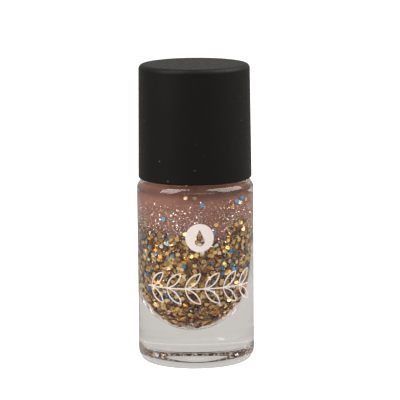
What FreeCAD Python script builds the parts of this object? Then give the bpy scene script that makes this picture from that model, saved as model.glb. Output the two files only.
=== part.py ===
"""Nail polish bottle with a screw cap and brush: writes one STEP per sub-part to parts/.

Millimetres, +Z up. The origin is the centre of the base, on the surface the bottle stands on, and -Y is
the printed front. The glass, the closure, the brush and the contents are separate solids.
"""
import math
import os

import FreeCAD
import Part

V = FreeCAD.Vector
UP = V(0, 0, 1)
ORIGIN = V(0, 0, 0)
TINY = 1.0  # how far a cutting tool runs past the face it cuts
FUSE = 0.3  # how far a feature grows into the wall that it is fused to

# ---------------------------------------------------------------- driving dimensions
BODY_RADIUS = 13.5
SHOULDER_Z = 42.45
SHOULDER_ROUND = 2.1
HEEL_SWEEP = 4.0  # the wall sweeps in to the heel on this radius,
HEEL_TURN = 40.0  # through this many degrees,
HEEL_ROUND = 0.6  # and a small round takes it on to the base
PUSH_UP_RADIUS = 8.6  # the shallow hollow under the base
PUSH_UP_DEPTH = 0.7

# Neck finish: 13 mm continuous thread, 12 threads to the inch.
NECK_ROOT_RADIUS = 5.75
THREAD_RADIUS = 6.5
BORE_RADIUS = 3.7
BORE_FLOOR_Z = 42.25
NECK_FOOT_ROUND = 0.6
LIP_Z = 54.0
LIP_ROUND = 0.45
PITCH = 2.1
THREAD_START_Z = 46.3  # middle of the glass thread where it begins
GLASS_TURNS = 1.6
GLASS_THREAD_ROOT = 1.30
GLASS_THREAD_CREST = 0.55

# Cavity: a pointed bowl, slightly flaring walls and a domed shoulder, leaning by CAVITY_LEAN degrees.
CAVITY_FLOOR_Z = 7.4
BOWL_RADIUS = 8.9
BOWL_DEPTH = 11.1
CAVITY_RADIUS = 10.2
DOME_START_Z = 36.8
DOME_TOP_Z = 41.2
DOME_TOP_RADIUS = 4.7
CAVITY_NECK_RADIUS = 3.45
CAVITY_LEAN = 1.3

# Contents
BED_TOP_Z = 31.0  # top of the settled glitter
FILL_EDGE_Z = 40.9  # where the lacquer meets the dome
FILL_EDGE_RADIUS = 6.70
MENISCUS_DEPTH = 2.0
BALL_RADIUS = 1.75
BALL_OFFSET = 1.83
BALL_Z = 9.50
WELL_RADIUS = 2.35  # the space that the dipped brush keeps open in the contents
WELL_FLOOR_Z = 11.5

# Closure
CAP_FLOOR_Z = 42.65
CAP_TOP_Z = 69.0
CAP_RADIUS_LOW = 13.1
CAP_RADIUS_HIGH = 12.8
CAP_EDGE_ROUND = 1.05
CAP_RIM_ROUND = 0.45
CAP_WALL = 1.15
CAP_ROOF = 1.25
CAP_RIBS = 8
RIB_WIDTH = 1.1
RIB_FLOOR_Z = 45.5
RIB_STOP_RADIUS = 5.5
SEAL_INNER_RADIUS = 3.4
SEAL_OUTER_RADIUS = 6.4
FACING_THICKNESS = 0.5
PAD_THICKNESS = 0.7
INNER_CAP_RADIUS = 8.3
INNER_CAP_FLOOR_Z = 43.3
INNER_CAP_TOP_Z = 56.6
INNER_CAP_BORE = 7.15
INNER_CAP_FLUTES = 40
FLUTE_DEPTH = 0.28
FLUTE_WIDTH = 0.8
INNER_CAP_BEVEL = 0.5
CAP_TURNS = 1.5
CAP_THREAD_START = 111.4  # degrees round from where the glass thread begins
CAP_THREAD_ROOT = 1.1
CAP_THREAD_CREST = 0.45
CAP_THREAD_RADIUS = 6.6  # relieved: it clears the glass thread, so that the cap can also lift straight
SOCKET_RADIUS = 3.1
SOCKET_FLOOR_Z = 50.6
SOCKET_SKIN = 0.4  # what is left of the cap's roof over the spigot
SPIGOT_GAP = 0.2

# Brush
SPIGOT_RADIUS = 1.9
STEM_HEAD_RADIUS = 2.6
STEM_HEAD_HEIGHT = 0.9
STEM_HEAD_TAPER = 0.6
STEM_BEVEL = 0.2
STEM_RADIUS_HIGH = 2.1
STEM_RADIUS_LOW = 1.8
STEM_END_Z = 24.3
TUFT_HOLE_RADIUS = 1.35
TUFT_HOLE_DEPTH = 3.2
TUFT_HALF_WIDTH = 1.95
TUFT_HALF_THICKNESS = 1.25
TUFT_WIDEST_Z = 14.2
TUFT_TIP_Z = 11.8
TUFT_TIP_HALF_WIDTH = 1.35
TUFT_TIP_HALF_THICKNESS = 0.6
STAPLE_WIDTH = 3.1
STAPLE_THICKNESS = 0.35
STAPLE_HEIGHT = 1.4

# Base knurl: short notches in the bearing ring, in arcs.
NOTCH_ARCS = ((-165, -100), (-75, -15), (20, 160))
NOTCH_STEP = 6.5
NOTCH_INNER_RADIUS = 9.5
NOTCH_LENGTH = 1.9
NOTCH_WIDTH = 0.5
NOTCH_DEPTH = 0.22

# Shorter rows of bars cut into the hollow under the base.
BAR_ARCS = ((-150, -108), (-68, -40))
BAR_STEP = 7.0
BAR_INNER_RADIUS = 6.2
BAR_LENGTH = 1.4
BAR_WIDTH = 0.45
BAR_TOP_Z = 0.5

# Print: white enamel on the front, turned a little to the right.
PRINT_THICKNESS = 0.05
PRINT_TURN = 4.0
STROKE = 0.30
MEDALLION_RADIUS = 3.25
MEDALLION_Z = 30.75
DROP_RADIUS = 1.15
DROP_HEIGHT = 3.9
SPRIG_Z = 18.95
SPRIG_HALF_ARC = 13.6  # along the glass, each way from its middle
SPRIG_LEAVES = 6
LEAF_LENGTH = 5.1
LEAF_WIDTH = 2.0
LEAF_LEAN = 45.0
LEAF_INSET = 1.2  # from the stalk's first end to the first pair of leaves


# ---------------------------------------------------------------- helpers
def point(radius, z):
    return V(radius, 0, z)


def line(start, end):
    return Part.LineSegment(start, end).toShape()


def arc(start, through, end):
    return Part.Arc(start, through, end).toShape()


def quarter(centre, radius, from_deg, to_deg):
    """A round stretch of a profile about centre, in the XZ plane."""
    ends = []
    for deg in (from_deg, (from_deg + to_deg) / 2, to_deg):
        a = math.radians(deg)
        ends.append(centre + V(radius * math.cos(a), 0, radius * math.sin(a)))
    return arc(*ends)


def quarter_ellipse(centre, on_axis, on_side):
    """The quarter of an ellipse from on_axis (the end of its long axis) to on_side."""
    whole = Part.Ellipse(on_axis, on_side, centre)
    return Part.ArcOfEllipse(whole, 0, math.pi / 2).toShape()


def round_through(half_chord, depth):
    """The radius of the circle or sphere that is this deep over this half-chord."""
    return (half_chord ** 2 + depth ** 2) / (2 * depth)


def turned(edges):
    """The solid made by turning a closed profile round the Z axis."""
    face = Part.Face(Part.Wire(Part.__sortEdges__(edges)))
    return face.revolve(ORIGIN, UP, 360)


def turned_outline(points):
    pairs = zip(points, points[1:] + points[:1])
    return turned([line(a, b) for a, b in pairs])


def tube(inner, outer, low, high):
    ring = Part.makeCylinder(outer, high - low, V(0, 0, low))
    return ring.cut(Part.makeCylinder(inner, high - low + 2 * TINY, V(0, 0, low - TINY)))


def disc_solid(radius, low, high):
    return Part.makeCylinder(radius, high - low, V(0, 0, low))


def leaned(shape):
    """The cavity and what lies in it lean about the neck's foot."""
    moved = shape.copy()
    moved.rotate(V(0, 0, SHOULDER_Z), V(0, 1, 0), CAVITY_LEAN)
    return moved


def thread_ridge(buried, root, crest, root_width, crest_width, start_z, start_deg, turns):
    """A right-hand helical ridge. buried is a radius inside the wall that the ridge grows from."""
    slope = (root_width - crest_width) / (crest - root)
    buried_width = root_width + slope * (root - buried)
    corners = [
        V(buried, 0, -buried_width / 2),
        V(crest, 0, -crest_width / 2),
        V(crest, 0, crest_width / 2),
        V(buried, 0, buried_width / 2),
    ]
    profile = Part.makePolygon(corners + corners[:1])
    helix = Part.makeHelix(PITCH, PITCH * turns, abs(crest))
    ridge = Part.Wire(helix).makePipeShell([profile], True, True)
    ridge.translate(V(0, 0, start_z))
    ridge.rotate(ORIGIN, UP, start_deg)
    return ridge


def save(shape, node):
    solids = shape.Solids
    out = solids[0] if len(solids) == 1 else Part.makeCompound(solids)
    out.exportStep(f"parts/{node}.step")
    print(node, "solids", len(solids), "valid", out.isValid(), "mm3", round(out.Volume, 2))


# ---------------------------------------------------------------- glass
def cavity():
    """The space inside the bottle, up into the neck, before the bore is drilled."""
    bowl_rim_z = CAVITY_FLOOR_Z + BOWL_DEPTH
    fillet_top_z = DOME_TOP_Z + (DOME_TOP_RADIUS - CAVITY_NECK_RADIUS)
    top_z = SHOULDER_Z + 2 * TINY
    turn_in = point(DOME_TOP_RADIUS, fillet_top_z)
    return leaned(turned([
        quarter_ellipse(point(0, bowl_rim_z), point(0, CAVITY_FLOOR_Z), point(BOWL_RADIUS, bowl_rim_z)),
        line(point(BOWL_RADIUS, bowl_rim_z), point(CAVITY_RADIUS, DOME_START_Z)),
        quarter_ellipse(point(DOME_TOP_RADIUS, DOME_START_Z), point(CAVITY_RADIUS, DOME_START_Z),
                        point(DOME_TOP_RADIUS, DOME_TOP_Z)),
        quarter(turn_in, DOME_TOP_RADIUS - CAVITY_NECK_RADIUS, 270, 180),
        line(point(CAVITY_NECK_RADIUS, fillet_top_z), point(CAVITY_NECK_RADIUS, top_z)),
        line(point(CAVITY_NECK_RADIUS, top_z), point(0, top_z)),
        line(point(0, top_z), point(0, CAVITY_FLOOR_Z)),
    ]))


def heel_centres():
    """Middle of the heel's wide sweep and of its small round."""
    turned_in = HEEL_SWEEP - HEEL_ROUND
    a = math.radians(HEEL_TURN)
    sweep = point(BODY_RADIUS - HEEL_SWEEP, HEEL_ROUND + turned_in * math.sin(a))
    return sweep, point(sweep.x + turned_in * math.cos(a), HEEL_ROUND)


def glass_blank():
    """The outside of the bottle as a solid, with the shallow hollow under the base."""
    dome_radius = round_through(PUSH_UP_RADIUS, PUSH_UP_DEPTH)
    half_way = PUSH_UP_RADIUS / 2
    half_way_z = PUSH_UP_DEPTH - dome_radius + math.sqrt(dome_radius ** 2 - half_way ** 2)
    dome = arc(point(PUSH_UP_RADIUS, 0), point(half_way, half_way_z), point(0, PUSH_UP_DEPTH))
    sweep, heel = heel_centres()
    corner = point(BODY_RADIUS - SHOULDER_ROUND, SHOULDER_Z - SHOULDER_ROUND)
    foot = NECK_FOOT_ROUND
    neck_foot = point(NECK_ROOT_RADIUS + foot, SHOULDER_Z + foot)
    lip = point(NECK_ROOT_RADIUS - LIP_ROUND, LIP_Z - LIP_ROUND)
    return turned([
        dome,
        line(point(PUSH_UP_RADIUS, 0), point(heel.x, 0)),
        quarter(heel, HEEL_ROUND, 270, 360 - HEEL_TURN),
        quarter(sweep, HEEL_SWEEP, 360 - HEEL_TURN, 360),
        line(point(BODY_RADIUS, sweep.z), point(BODY_RADIUS, corner.z)),
        quarter(corner, SHOULDER_ROUND, 0, 90),
        line(point(corner.x, SHOULDER_Z), point(neck_foot.x, SHOULDER_Z)),
        quarter(neck_foot, foot, 270, 180),
        line(point(NECK_ROOT_RADIUS, neck_foot.z), point(NECK_ROOT_RADIUS, lip.z)),
        quarter(lip, LIP_ROUND, 0, 90),
        line(point(lip.x, LIP_Z), point(0, LIP_Z)),
        line(point(0, LIP_Z), point(0, PUSH_UP_DEPTH)),
    ])


def spokes(arcs, step, inner_radius, length, width, top_z):
    """Short radial bars in arcs under the base, up to top_z, to cut with."""
    bars = []
    for first, last in arcs:
        for i in range(int((last - first) / step) + 1):
            bar = Part.makeBox(length, width, top_z + TINY, V(inner_radius, -width / 2, -TINY))
            bar.rotate(ORIGIN, UP, first + i * step)
            bars.append(bar)
    return Part.makeCompound(bars)


def glass_bottle(inside):
    thread = thread_ridge(NECK_ROOT_RADIUS - FUSE, NECK_ROOT_RADIUS, THREAD_RADIUS, GLASS_THREAD_ROOT,
                          GLASS_THREAD_CREST, THREAD_START_Z, 0, GLASS_TURNS)
    bore = disc_solid(BORE_RADIUS, BORE_FLOOR_Z, LIP_Z + TINY)
    mouth = Part.makeCone(BORE_RADIUS, BORE_RADIUS + 2 * LIP_ROUND, 2 * LIP_ROUND, V(0, 0, LIP_Z - LIP_ROUND))
    notches = spokes(NOTCH_ARCS, NOTCH_STEP, NOTCH_INNER_RADIUS, NOTCH_LENGTH, NOTCH_WIDTH, NOTCH_DEPTH)
    bars = spokes(BAR_ARCS, BAR_STEP, BAR_INNER_RADIUS, BAR_LENGTH, BAR_WIDTH, BAR_TOP_Z)
    glass = glass_blank().fuse(thread)
    for tool in (inside, bore, mouth, notches, bars):
        glass = glass.cut(tool)
    return glass


# ---------------------------------------------------------------- contents
def brush_well():
    return disc_solid(WELL_RADIUS, WELL_FLOOR_Z, LIP_Z)


def lacquer(inside):
    """The clear pink lacquer above the settled glitter, under its curved surface."""
    sag_radius = round_through(FILL_EDGE_RADIUS, MENISCUS_DEPTH)
    surface = Part.makeSphere(sag_radius, V(0, 0, FILL_EDGE_Z - MENISCUS_DEPTH + sag_radius))
    layer = disc_solid(BODY_RADIUS, BED_TOP_Z, FILL_EDGE_Z)
    return inside.common(layer).cut(surface).cut(brush_well())


def mixing_balls():
    return [leaned(Part.makeSphere(BALL_RADIUS, V(0, side * BALL_OFFSET, BALL_Z))) for side in (-1, 1)]


def glitter_bed(inside, balls):
    layer = disc_solid(BODY_RADIUS, 0, BED_TOP_Z)
    return inside.common(layer).cut(brush_well()).cut(Part.makeCompound(balls))


# ---------------------------------------------------------------- print
def skin():
    """A thin sleeve on the front half of the glass, that the print is cut from."""
    sweep, _ = heel_centres()
    sleeve = tube(BODY_RADIUS, BODY_RADIUS + PRINT_THICKNESS, sweep.z, SHOULDER_Z - SHOULDER_ROUND)
    back_half = Part.makeBox(4 * BODY_RADIUS, 2 * BODY_RADIUS, SHOULDER_Z, V(-2 * BODY_RADIUS, 0, 0))
    return sleeve.cut(back_half)


def stencil(wire):
    """A flat outline in the XZ plane, pushed through the front of the glass."""
    return Part.Face(wire).extrude(V(0, -2 * BODY_RADIUS, 0))


def medallion_stencil():
    """A disc with a drop knocked out of it."""
    centre = V(0, 0, MEDALLION_Z)
    disc = Part.Wire(Part.makeCircle(MEDALLION_RADIUS, centre, V(0, 1, 0)))
    bowl_z = MEDALLION_Z - DROP_HEIGHT / 2 + DROP_RADIUS
    tip = point(0, MEDALLION_Z + DROP_HEIGHT / 2)
    half = math.acos(DROP_RADIUS / (tip.z - bowl_z))
    side = V(DROP_RADIUS * math.sin(half), 0, bowl_z + DROP_RADIUS * math.cos(half))
    other = V(-side.x, 0, side.z)
    drop = Part.Wire([line(tip, side), arc(side, point(0, bowl_z - DROP_RADIUS), other), line(other, tip)])
    return stencil(disc).cut(stencil(drop))


def leaf_outline(grow):
    """A pointed leaf from the origin along +X, made larger all round by grow."""
    half_length = LEAF_LENGTH / 2 + grow
    half_width = LEAF_WIDTH / 2 + grow
    middle = LEAF_LENGTH / 2
    foot, tip = V(middle - half_length, 0, 0), V(middle + half_length, 0, 0)
    return Part.Wire([arc(foot, V(middle, 0, half_width), tip), arc(tip, V(middle, 0, -half_width), foot)])


def rolled(flat_shape, along):
    """Turns a stencil round the glass so that it sits along millimetres from the middle of the print."""
    moved = flat_shape.copy()
    moved.rotate(ORIGIN, UP, math.degrees(along / BODY_RADIUS))
    return moved


def sprig_pieces(sheet):
    """A stalk with pairs of outlined leaves, cut from the thin sleeve."""
    half_turn = math.degrees(SPRIG_HALF_ARC / BODY_RADIUS)
    ring = tube(BODY_RADIUS, BODY_RADIUS + PRINT_THICKNESS, SPRIG_Z - STROKE / 2, SPRIG_Z + STROKE / 2)
    wedge = Part.makeCylinder(2 * BODY_RADIUS, SHOULDER_Z, ORIGIN, UP, 2 * half_turn)
    wedge.rotate(ORIGIN, UP, -90 - half_turn)
    pieces = [ring.common(wedge)]
    reach = LEAF_LENGTH * math.cos(math.radians(LEAF_LEAN))
    spacing = (2 * SPRIG_HALF_ARC - LEAF_INSET - reach) / (SPRIG_LEAVES - 1)
    for i in range(SPRIG_LEAVES):
        for side in (-1, 1):
            leaf = stencil(leaf_outline(0)).cut(stencil(leaf_outline(-STROKE)))
            leaf.rotate(ORIGIN, V(0, 1, 0), -side * LEAF_LEAN)
            leaf.translate(V(0, 0, SPRIG_Z))
            pieces.append(sheet.common(rolled(leaf, LEAF_INSET - SPRIG_HALF_ARC + i * spacing)))
    return pieces


def turned_print(shape):
    moved = shape.copy()
    moved.rotate(ORIGIN, UP, PRINT_TURN)
    return moved


def front_medallion(sheet):
    return turned_print(sheet.common(medallion_stencil()))


def front_sprig(sheet):
    pieces = sprig_pieces(sheet)
    return turned_print(pieces[0].multiFuse(pieces[1:]))


# ---------------------------------------------------------------- closure
def seal_facing():
    return tube(SEAL_INNER_RADIUS, SEAL_OUTER_RADIUS, LIP_Z, LIP_Z + FACING_THICKNESS)


def seal_pad():
    low = LIP_Z + FACING_THICKNESS
    return tube(SEAL_INNER_RADIUS, SEAL_OUTER_RADIUS, low, low + PAD_THICKNESS)


def inner_cap():
    """The threaded liner cap that holds the brush: fluted outside, threaded inside, with a socket."""
    land_z = LIP_Z + FACING_THICKNESS + PAD_THICKNESS
    bevel = INNER_CAP_BEVEL
    shell = turned_outline([
        point(0, land_z), point(INNER_CAP_BORE, land_z), point(INNER_CAP_BORE, INNER_CAP_FLOOR_Z + bevel),
        point(INNER_CAP_BORE + bevel, INNER_CAP_FLOOR_Z), point(INNER_CAP_RADIUS, INNER_CAP_FLOOR_Z),
        point(INNER_CAP_RADIUS, INNER_CAP_TOP_Z - bevel), point(INNER_CAP_RADIUS - bevel, INNER_CAP_TOP_Z),
        point(0, INNER_CAP_TOP_Z),
    ])
    socket = disc_solid(SOCKET_RADIUS, SOCKET_FLOOR_Z, land_z + TINY / 2)
    rise = THREAD_START_Z + PITCH / 2 + PITCH * CAP_THREAD_START / 360
    thread = thread_ridge(INNER_CAP_BORE + FUSE, INNER_CAP_BORE, CAP_THREAD_RADIUS, CAP_THREAD_ROOT,
                          CAP_THREAD_CREST, rise, CAP_THREAD_START, CAP_TURNS)
    flutes = []
    flute_radius = round_through(FLUTE_WIDTH / 2, FLUTE_DEPTH)
    flute_axis = INNER_CAP_RADIUS + flute_radius - FLUTE_DEPTH
    for i in range(INNER_CAP_FLUTES):
        flute = Part.makeCylinder(flute_radius, INNER_CAP_TOP_Z, V(flute_axis, 0, INNER_CAP_FLOOR_Z - TINY))
        flute.rotate(ORIGIN, UP, (i + 0.5) * 360 / INNER_CAP_FLUTES)
        flutes.append(flute)
    cap = shell.fuse(socket).fuse(thread)
    cap = cap.cut(disc_solid(SPIGOT_RADIUS, SOCKET_FLOOR_Z - TINY, INNER_CAP_TOP_Z - SOCKET_SKIN))
    return cap.cut(Part.makeCompound(flutes))


def overcap():
    """The matt outer cap: a drafted cup with ribs that grip the inner cap and stop it."""
    draft = (CAP_RADIUS_LOW - CAP_RADIUS_HIGH) / (CAP_TOP_Z - CAP_FLOOR_Z)
    edge = point(CAP_RADIUS_HIGH - CAP_EDGE_ROUND, CAP_TOP_Z - CAP_EDGE_ROUND)
    rim = point(CAP_RADIUS_LOW - CAP_RIM_ROUND, CAP_FLOOR_Z + CAP_RIM_ROUND)
    roof_z = CAP_TOP_Z - CAP_ROOF
    inner_low = CAP_RADIUS_LOW - CAP_WALL
    inner_high = inner_low - draft * (roof_z - CAP_FLOOR_Z)
    shell = turned([
        line(point(0, CAP_TOP_Z), point(edge.x, CAP_TOP_Z)),
        quarter(edge, CAP_EDGE_ROUND, 90, 0),
        line(point(CAP_RADIUS_HIGH, edge.z), point(CAP_RADIUS_LOW, rim.z)),
        quarter(rim, CAP_RIM_ROUND, 0, -90),
        line(point(rim.x, CAP_FLOOR_Z), point(inner_low, CAP_FLOOR_Z)),
        line(point(inner_low, CAP_FLOOR_Z), point(inner_high, roof_z)),
        line(point(inner_high, roof_z), point(0, roof_z)),
        line(point(0, roof_z), point(0, CAP_TOP_Z)),
    ])
    ribs = []
    for i in range(CAP_RIBS):
        rib = Part.makeBox(inner_low + FUSE, RIB_WIDTH, roof_z + FUSE - RIB_FLOOR_Z,
                           V(0, -RIB_WIDTH / 2, RIB_FLOOR_Z))
        rib.rotate(ORIGIN, UP, i * 360 / CAP_RIBS)
        ribs.append(rib)
    seat = disc_solid(INNER_CAP_RADIUS, RIB_FLOOR_Z - TINY, INNER_CAP_TOP_Z)
    hollow = disc_solid(RIB_STOP_RADIUS, INNER_CAP_TOP_Z - TINY, roof_z)
    rib_group = ribs[0].multiFuse(ribs[1:]).cut(seat).cut(hollow)
    return shell.fuse(rib_group)


# ---------------------------------------------------------------- brush
def staple():
    low = STEM_END_Z + TUFT_HOLE_DEPTH - STAPLE_HEIGHT
    return Part.makeBox(STAPLE_WIDTH, STAPLE_THICKNESS, STAPLE_HEIGHT,
                        V(-STAPLE_WIDTH / 2, -STAPLE_THICKNESS / 2, low))


def brush_stem():
    head_z = SOCKET_FLOOR_Z
    foot_z = head_z - STEM_HEAD_HEIGHT
    spigot_top = INNER_CAP_TOP_Z - SOCKET_SKIN - SPIGOT_GAP
    rod = turned_outline([
        point(0, spigot_top), point(SPIGOT_RADIUS - STEM_BEVEL, spigot_top),
        point(SPIGOT_RADIUS, spigot_top - STEM_BEVEL), point(SPIGOT_RADIUS, head_z),
        point(STEM_HEAD_RADIUS, head_z), point(STEM_HEAD_RADIUS, foot_z),
        point(STEM_RADIUS_HIGH, foot_z - STEM_HEAD_TAPER), point(STEM_RADIUS_LOW, STEM_END_Z + STEM_BEVEL),
        point(STEM_RADIUS_LOW - STEM_BEVEL, STEM_END_Z), point(0, STEM_END_Z),
    ])
    hole = disc_solid(TUFT_HOLE_RADIUS, STEM_END_Z - TINY, STEM_END_Z + TUFT_HOLE_DEPTH)
    return rod.cut(hole).cut(staple())


def oval(half_width, half_thickness, z):
    whole = Part.Ellipse(V(half_width, 0, z), V(0, half_thickness, z), V(0, 0, z))
    return Part.Wire(whole.toShape())


def brush_bristles():
    """The tuft as one solid: round in the stem, spreading to a flat oval with a trimmed tip."""
    root = 0.002  # keeps the widest axis of every section along X
    sections = [
        oval(TUFT_HOLE_RADIUS, TUFT_HOLE_RADIUS - root, STEM_END_Z + TUFT_HOLE_DEPTH),
        oval(TUFT_HOLE_RADIUS, TUFT_HOLE_RADIUS - root, STEM_END_Z),
        oval(TUFT_HALF_WIDTH, TUFT_HALF_THICKNESS, TUFT_WIDEST_Z),
        oval(TUFT_TIP_HALF_WIDTH, TUFT_TIP_HALF_THICKNESS, TUFT_TIP_Z),
    ]
    return Part.makeLoft(sections, True, True).cut(staple())


# ---------------------------------------------------------------- build
def main():
    os.makedirs("parts", exist_ok=True)
    inside = cavity()
    balls = mixing_balls()
    sheet = skin()
    save(glass_bottle(inside), "glass_bottle")
    save(lacquer(inside), "lacquer")
    save(glitter_bed(inside, balls), "glitter_bed")
    for i, ball in enumerate(balls):
        save(ball, f"mixing_ball_{i + 1}")
    save(front_medallion(sheet), "front_medallion")
    save(front_sprig(sheet), "front_sprig")
    save(seal_facing(), "seal_facing")
    save(seal_pad(), "seal_pad")
    save(inner_cap(), "inner_cap")
    save(overcap(), "overcap")
    save(brush_stem(), "brush_stem")
    save(staple(), "bristle_staple")
    save(brush_bristles(), "brush_bristles")


main()
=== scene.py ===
import math

import bpy
import numpy as np
from mathutils import Matrix, Vector, noise


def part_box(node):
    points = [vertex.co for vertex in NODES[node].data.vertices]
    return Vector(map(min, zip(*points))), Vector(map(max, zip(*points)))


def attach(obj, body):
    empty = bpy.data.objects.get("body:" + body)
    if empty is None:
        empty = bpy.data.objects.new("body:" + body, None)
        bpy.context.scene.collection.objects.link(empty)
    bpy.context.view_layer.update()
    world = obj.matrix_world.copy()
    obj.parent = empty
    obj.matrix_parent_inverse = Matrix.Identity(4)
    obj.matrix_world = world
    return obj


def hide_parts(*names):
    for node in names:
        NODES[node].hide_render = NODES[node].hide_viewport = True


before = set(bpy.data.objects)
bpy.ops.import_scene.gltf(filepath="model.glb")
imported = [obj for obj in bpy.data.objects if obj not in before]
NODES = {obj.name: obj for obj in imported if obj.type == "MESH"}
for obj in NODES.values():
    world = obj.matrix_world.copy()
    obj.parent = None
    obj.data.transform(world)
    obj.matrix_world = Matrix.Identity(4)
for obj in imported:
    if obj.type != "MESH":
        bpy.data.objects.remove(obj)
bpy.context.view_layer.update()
MM = 0.001
RANDOM = np.random.default_rng(27)

# ---------------------------------------------------------------- sizes, in millimetres
# Read from the frame.
BODY_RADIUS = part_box("glass_bottle")[1].x / MM
LIP_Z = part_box("glass_bottle")[1].z / MM
BED_TOP_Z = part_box("lacquer")[0].z / MM
FILL_EDGE_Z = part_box("lacquer")[1].z / MM
TUFT_LOW, TUFT_HIGH = (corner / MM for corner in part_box("brush_bristles"))
STEM_END_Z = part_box("brush_stem")[0].z / MM

# The outside of the glass, its mouth and its bore.
SHOULDER_Z = 42.45
SHOULDER_ROUND = 2.1
HEEL_SWEEP = 4.0
HEEL_ROUND = 0.6
HEEL_TURN = 40  # degrees of the sweep before the small round takes over
PUSH_UP_RADIUS = 8.6
PUSH_UP_DEPTH = 0.7
NECK_RADIUS = 5.75
NECK_FOOT_ROUND = 0.6
LIP_ROUND = 0.45
BORE_RADIUS = 3.7
BORE_FOOT_Z = SHOULDER_Z + 0.35
MOUTH_RADIUS = 4.25
MOUTH_ROUND = (0.55, 0.6)  # across and up
THREAD_HEIGHT = 0.75
THREAD_START_Z = 46.3
THREAD_PITCH = 2.1
THREAD_TURNS = 1.6
THREAD_ROOT = 1.30  # its width at the neck
THREAD_CREST = 0.55  # and at its top
THREAD_FADE_TURNS = 0.09
THREAD_MARGIN = 0.9  # of close rings below and above the thread
# Notches across the ring that the bottle stands on, and bars in the hollow under it. Arcs are in degrees.
NOTCH_ARCS = ((-165, -100), (-75, -15), (20, 160))
NOTCH_STEP = 6.5
NOTCH_RADII = (9.5, 11.4)
NOTCH_WIDTH = 0.5
NOTCH_DEPTH = 0.22
BAR_ARCS = ((-150, -108), (-68, -40))
BAR_STEP = 7.0
BAR_RADII = (6.2, 7.6)
BAR_WIDTH = 0.45
BAR_TOP_Z = 0.5
PLATE_SEAM_Z = 4.0  # the ring left where the mould's bottom plate meets its halves
PLATE_SEAM_HEIGHT = 0.004
PLATE_SEAM_WIDTH = 0.24
HALF_SEAM_ANGLES = (12, 192)  # the two upright lines between the mould's halves
HALF_SEAM_HEIGHT = 0.025
HALF_SEAM_WIDTH = 0.45

# The cavity, and the lean it was moulded with.
CAVITY_FLOOR_Z = 7.4
BOWL_RADIUS = 8.9
BOWL_RIM_Z = 18.5
BOWL_FADE_Z = (12, 20)  # the bowl's looks turn into those of the wall between these heights
BOWL_CORNER_Z = 11.5  # where the flakes lie furthest behind the glass
BOWL_TINT_Z = 14.0  # the top of the glass that is seen through more lacquer
CAVITY_RADIUS = 10.2
DOME_START_Z = 36.8
DOME_TOP_Z = 41.2
DOME_TOP_RADIUS = 4.7
THROAT_RADIUS = 3.45
CAVITY_LEAN = math.radians(1.3)

# What is in the cavity.
MENISCUS_Z = 38.9  # the middle of the free surface
FILM_EDGE_Z = 46.5  # how far up the neck the lacquer has wetted the glass
FILM_THICKNESS = 0.14
FILM_RINGS = 9
SKIN_GAP = 0.03  # between the lacquer and the glass
CORE_INSET = 1.05  # how far behind the glass the lacquer looks solid, in the bowl
CORE_INSET_FALL = 0.55  # and how much less than that up the wall
BED_HOLLOW = (0.48, 0.30)  # where its middle is and how far it spreads, in radians from the front
BED_HOLLOW_DEPTH = 2.4
BED_DRIFT = (1.20, 0.42)  # the heap beyond the hollow
BED_DRIFT_HEIGHT = 3.7
FLAKE_RADIUS = 0.48
FLAKE_THICKNESS = 0.03
FLAKE_DEPTHS = (0.05, 0.75)  # how far behind the glass the flakes lie
FLAKE_BOWL_DEPTH = 0.30  # more than that in the bowl
FLAKE_CORNER_DEPTH = 0.45  # and more again round the bowl's corner
FLAKE_CORNER_SPREAD = 2.0
SPECK_THICKNESS = 0.012

# The brush.
STEM_RADII = (1.8, 2.1)  # at its end and at its top
STEM_LENGTH = 24.5
FILAMENT_RADIUS = 0.055
COAT_THICKNESS = 0.09  # of lacquer


# ---------------------------------------------------------------- small helpers
def smooth(value, low, high):
    """0 below low, 1 above high, and an S-curve between them."""
    share = np.clip((np.asarray(value, float) - low) / (high - low), 0, 1)
    return share * share * (3 - 2 * share)


def hump(value, middle, spread):
    """1 at the middle, and falling away on both sides over about this spread."""
    return np.exp(-((value - middle) / spread) ** 2)


def arc_points(centre, radii, from_deg, to_deg, count):
    """Points along an arc, or along a quarter of an ellipse where radii has two sizes."""
    across, up = radii if isinstance(radii, tuple) else (radii, radii)
    turn = np.radians(np.linspace(from_deg, to_deg, count))
    return [(centre[0] + across * math.cos(a), centre[1] + up * math.sin(a)) for a in turn]


def run(start, end, count):
    """Points along a straight stretch, both ends included."""
    return [tuple(np.array(start) + (np.array(end) - start) * t) for t in np.linspace(0, 1, count)]


def chain(*stretches):
    """One outline from stretches that meet end to end, without the doubled points."""
    points = []
    for stretch in stretches:
        for p in stretch:
            if not points or math.dist(p, points[-1]) > 1e-4:
                points.append(p)
    return np.array(points)


def leaned(points):
    """The cavity leans about the foot of the neck, in the plane of the front."""
    x, y, z = points[..., 0], points[..., 1], points[..., 2] - SHOULDER_Z
    c, s = math.cos(CAVITY_LEAN), math.sin(CAVITY_LEAN)
    return np.stack((x * c + z * s, y, z * c - x * s + SHOULDER_Z), -1)


def turn_steps(count):
    """Angles of this many even steps round the axis, in radians."""
    return np.arange(count) * 2 * math.pi / count


def mesh_object(name, points, faces, smooth_faces=True):
    """A mesh piece from points in millimetres."""
    mesh = bpy.data.meshes.new(name)
    mesh.from_pydata((np.asarray(points) * MM).tolist(), [], faces)
    mesh.polygons.foreach_set("use_smooth", [smooth_faces] * len(mesh.polygons))
    mesh.update()
    piece = bpy.data.objects.new(name, mesh)
    bpy.context.scene.collection.objects.link(piece)
    return piece


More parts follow.
